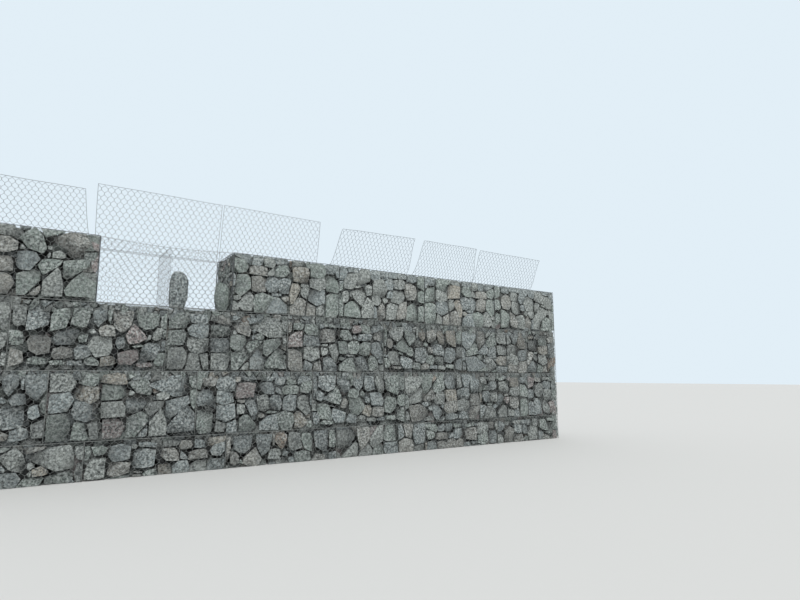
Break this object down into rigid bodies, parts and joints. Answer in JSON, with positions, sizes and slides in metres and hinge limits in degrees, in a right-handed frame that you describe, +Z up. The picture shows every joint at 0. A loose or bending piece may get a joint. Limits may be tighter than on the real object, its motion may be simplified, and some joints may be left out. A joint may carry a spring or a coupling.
{
  "type": "gabion retaining wall",
  "caption": "Straight gabion retaining wall of stone-filled wire baskets in staggered courses, with an empty basket being filled and netting lids standing open.",
  "frame": {"origin": "centre of the wall's underside, at ground level", "axes": "+X along the wall to the right as seen from the front, +Y from the front face to the back, +Z up"},
  "size_m": [12.06, 1.1982, 4.6047],
  "materials": {
    "rubble_stone": "rough angular broken rock, grey to blue-grey",
    "facing_stone": "rough broken rock",
    "laced_wire": "grey coated wire",
    "wire_netting": "grey coated double-twist wire"
  },
  "bodies": {
    "wall": {"course_1_fill_1": "rubble_stone", "course_1_fill_2": "rubble_stone", "course_1_fill_3": "rubble_stone", "course_1_fill_4": "rubble_stone", "course_1_fill_5": "rubble_stone", "course_1_fill_6": "rubble_stone", "course_2_fill_1": "rubble_stone", "course_2_fill_2": "rubble_stone", "course_2_fill_3": "rubble_stone", "course_2_fill_4": "rubble_stone", "course_2_fill_5": "rubble_stone", "course_2_fill_6": "rubble_stone", "course_2_fill_7": "rubble_stone", "course_3_fill_1": "rubble_stone", "course_3_fill_2": "rubble_stone", "course_3_fill_3": "rubble_stone", "course_3_fill_4": "rubble_stone", "course_3_fill_5": "rubble_stone", "course_3_fill_6": "rubble_stone", "course_3_fill_7": "rubble_stone", "course_4_fill_1": "rubble_stone", "course_4_fill_3": "rubble_stone", "course_4_fill_4": "rubble_stone", "course_4_fill_5": "rubble_stone", "course_4_fill_6": "rubble_stone", "course_1_edges": "laced_wire", "course_2_edges": "laced_wire", "course_3_edges": "laced_wire", "course_4_edges": "laced_wire", "open_basket_diaphragm": "wire_netting", "open_basket_front": "wire_netting", "open_basket_left_side": "wire_netting", "open_basket_rear": "wire_netting", "open_basket_right_side": "wire_netting", "facing_stone_1": "facing_stone", "facing_stone_2": "facing_stone"},
    "lid_1": {"lid_1": "wire_netting"},
    "lid_2": {"lid_2": "wire_netting"},
    "lid_3": {"lid_3": "wire_netting"},
    "lid_4": {"lid_4": "wire_netting"},
    "lid_5": {"lid_5": "wire_netting"},
    "lid_6": {"lid_6": "wire_netting"}
  },
  "joints": [
    {"name": "lid_1_hinge", "type": "hinge", "parent": "wall", "child": "lid_1", "pos_m": [-5, 0.5, 3.567], "axis": [1, 0, 0], "range_deg": [-81, 99]},
    {"name": "lid_2_hinge", "type": "hinge", "parent": "wall", "child": "lid_2", "pos_m": [-3, 0.5, 3.567], "axis": [1, 0, 0], "range_deg": [-104, 76]},
    {"name": "lid_3_hinge", "type": "hinge", "parent": "wall", "child": "lid_3", "pos_m": [-1, 0.5, 3.567], "axis": [1, 0, 0], "range_deg": [-102, 78]},
    {"name": "lid_4_hinge", "type": "hinge", "parent": "wall", "child": "lid_4", "pos_m": [1, 0.5, 3.567], "axis": [1, 0, 0], "range_deg": [-129, 51]},
    {"name": "lid_5_hinge", "type": "hinge", "parent": "wall", "child": "lid_5", "pos_m": [3, 0.5, 3.567], "axis": [1, 0, 0], "range_deg": [-120, 60]},
    {"name": "lid_6_hinge", "type": "hinge", "parent": "wall", "child": "lid_6", "pos_m": [5, 0.5, 3.567], "axis": [1, 0, 0], "range_deg": [-122, 58]}
  ]
}
